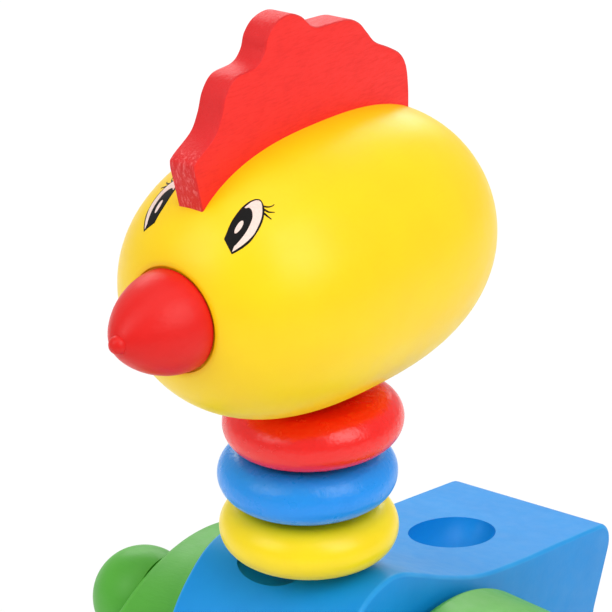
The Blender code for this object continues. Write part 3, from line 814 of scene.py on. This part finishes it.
def wheel_loop(radius, width, taper=1.2, edge=1.8):
    """A wheel's section: a bored disc with eased edges, a little smaller at its outer face."""
    easing = 0.35
    return np.vstack([
        arc((axle_bore + easing, easing), easing, TURN / 2, TURN * 0.75, 4),
        arc((radius - edge, edge), edge, -TURN / 4, 0.0, 12),
        arc((radius - taper - edge, width - edge), edge, 0.0, TURN / 4, 12),
        arc((axle_bore + easing, width - easing), easing, TURN / 4, TURN / 2, 4),
    ])


def build_wheels(end, axle, radius, width):
    """One pair of wheels with washers and hub caps, both sides alike."""
    body = end + "_wheels"
    y, z = axle
    chamfer = 0.1
    washer_line = [(axle_bore, 0.0), (washer_radius - chamfer, 0.0), (washer_radius, chamfer),
                   (washer_radius, washer_thickness - chamfer), (washer_radius - chamfer, washer_thickness),
                   (axle_bore, washer_thickness)]
    dome = arc((0.0, 0.0), 1.0, 0.0, TURN / 4, 16) * (cap_radius, cap_crown) + (0.0, cap_side)
    dome[-1, 0] = 0.0
    foot_easing = 0.2
    cap_foot = [(0.0, seat_gap), (cap_radius - foot_easing, seat_gap), (cap_radius, seat_gap + foot_easing)]
    cap_line = np.vstack([cap_foot, dome])
    for side, sign, turn in (("left", 1, to_left), ("right", -1, to_right)):
        node = side + "_" + end
        at = (sign * wheel_inner_x, y, z)
        wheel = turned(node + "_turned_wheel", wheel_loop(radius, width), wheel_green, at, turn, 160)
        keep(wheel, body, "green_paint", node + "_wheel")
        at_washer = (sign * washer_inner_x, y, z)
        washer = turned(node + "_steel_washer", washer_line, washer_steel, at_washer, turn, 48)
        keep(washer, body, "bright_steel", node + "_washer")
        at_cap = (sign * (wheel_inner_x + width), y, z)
        cap = turned(node + "_domed_cap", cap_line, wheel_green, at_cap, turn, 64)
        keep(cap, body, "green_paint", node + "_hub_cap")


def build_knobs():
    """A ball knob on each front wheel's outer face, half a turn apart."""
    foot = math.asin((knob_centre_out - seat_gap) / knob_radius)
    ball = arc((0.0, knob_centre_out), knob_radius, -foot, TURN / 4, 48)
    ball[-1, 0] = 0.0
    profile = np.vstack([[(0.0, seat_gap)], ball])
    for side, sign, turn, phase in (("left", 1, to_left, TURN / 2), ("right", -1, to_right, 0.0)):
        lead = knob_lead + phase
        at = (sign * (wheel_inner_x + front_wheel_width), front_axle[0] - knob_throw * math.sin(lead),
              front_axle[1] + knob_throw * math.cos(lead))
        knob = turned(side + "_ball_knob", profile, wheel_green, at, turn, 96)
        keep(knob, "front_wheels", "green_paint", side + "_knob")


# Stage, light and camera.


def build_stage():
    """A pale floor that the camera sees nearly white but that keeps the toy's shadow."""
    made = Shader("pale_floor")
    made.finish((0.9, 0.9, 0.9), 0.9)
    white = made.add("ShaderNodeEmission", Color=(1.0, 1.0, 1.0, 1.0), Strength=1.0)
    seen = made.add("ShaderNodeLightPath").outputs["Is Camera Ray"]
    mix = made.add("ShaderNodeMixShader")
    made.feed(mix.inputs[0], made.times(seen, floor_white_share))
    made.feed(mix.inputs[1], made.surface.outputs["BSDF"])
    made.feed(mix.inputs[2], white.outputs["Emission"])
    made.feed(made.tree.nodes["Material Output"].inputs["Surface"], mix.outputs[0])
    size = 3.0
    corners = [(-size, -size, 0), (size, -size, 0), (size, size, 0), (-size, size, 0)]
    mesh = bpy.data.meshes.new("floor")
    mesh.from_pydata(corners, [], [(0, 1, 2, 3)])
    mesh.materials.append(made.material)
    floor = bpy.data.objects.new("floor", mesh)
    bpy.context.scene.collection.objects.link(floor)


def build_world():
    """A soft white surround: plain light on the toy, and white where the camera sees it."""
    world = bpy.data.worlds.new("studio")
    bpy.context.scene.world = world
    world.use_nodes = True
    nodes, links = world.node_tree.nodes, world.node_tree.links
    ground = nodes["Background"]
    ground.inputs["Color"].default_value = (1.0, 1.0, 1.0, 1.0)
    path = nodes.new("ShaderNodeLightPath")
    level = nodes.new("ShaderNodeMapRange")
    links.new(path.outputs["Is Camera Ray"], level.inputs["Value"])
    level.inputs["To Min"].default_value = surround_strength
    level.inputs["To Max"].default_value = 1.0
    links.new(level.outputs["Result"], ground.inputs["Strength"])


def soft_box(name, azimuth, elevation, distance, width, height, power):
    """A rectangular studio lamp that faces the toy's neck from an azimuth and elevation in degrees."""
    lamp = bpy.data.lights.new(name, "AREA")
    lamp.shape = "RECTANGLE"
    lamp.size, lamp.size_y, lamp.energy = width, height, power
    made = bpy.data.objects.new(name, lamp)
    bpy.context.scene.collection.objects.link(made)
    turn, lift = math.radians(azimuth), math.radians(elevation)
    away = np.array([math.sin(turn) * math.cos(lift), -math.cos(turn) * math.cos(lift), math.sin(lift)])
    made.location = tuple(neck + away * distance)
    made.rotation_euler = (TURN / 4 - lift, 0.0, turn)


def build_camera():
    """The photograph's long lens, placed so that the neck's origin falls on its own pixel."""
    frame_pixels = 612.0
    focal_pixels = 3000.0
    neck_pixel = (309.0, 523.0)
    neck_distance = 0.5
    azimuth, elevation = math.radians(34.0), math.radians(23.5)
    lens = bpy.data.cameras.new("camera")
    lens.sensor_width = 36.0
    lens.lens = focal_pixels / frame_pixels * 36.0
    lens.clip_start = 0.05
    made = bpy.data.objects.new("camera", lens)
    bpy.context.scene.collection.objects.link(made)
    sin_a, cos_a = math.sin(azimuth), math.cos(azimuth)
    sin_e, cos_e = math.sin(elevation), math.cos(elevation)
    right = np.array([cos_a, sin_a, 0.0])
    up = np.array([-sin_a * sin_e, cos_a * sin_e, cos_e])
    ahead = np.array([-sin_a * cos_e, cos_a * cos_e, -sin_e])
    off_right = (neck_pixel[0] - frame_pixels / 2) / focal_pixels * neck_distance
    off_up = -(neck_pixel[1] - frame_pixels / 2) / focal_pixels * neck_distance
    made.location = tuple(neck - ahead * neck_distance - right * off_right - up * off_up)
    made.rotation_euler = (TURN / 4 - elevation, 0.0, azimuth)
    bpy.context.scene.camera = made


build_camera()
build_rings()
build_spring()
build_head()
build_beak()
build_comb()
build_eye("left", False)
build_eye("right", True)
build_body()
build_screw_eye()
build_wheels("front", front_axle, front_wheel_radius, front_wheel_width)
build_wheels("rear", rear_axle, rear_wheel_radius, rear_wheel_width)
build_knobs()
for node_name in ("front_axle", "rear_axle", "lower_spring_peg", "upper_spring_peg", "left_knob_peg",
                  "right_knob_peg"):
    slots_of_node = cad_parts[node_name].data.materials
    slots_of_node.clear()
    slots_of_node.append(beech)
build_stage()
build_world()
for lamp_name, lamp_numbers in soft_boxes.items():
    soft_box(lamp_name, *lamp_numbers)
bpy.context.scene.view_settings.view_transform = "Standard"
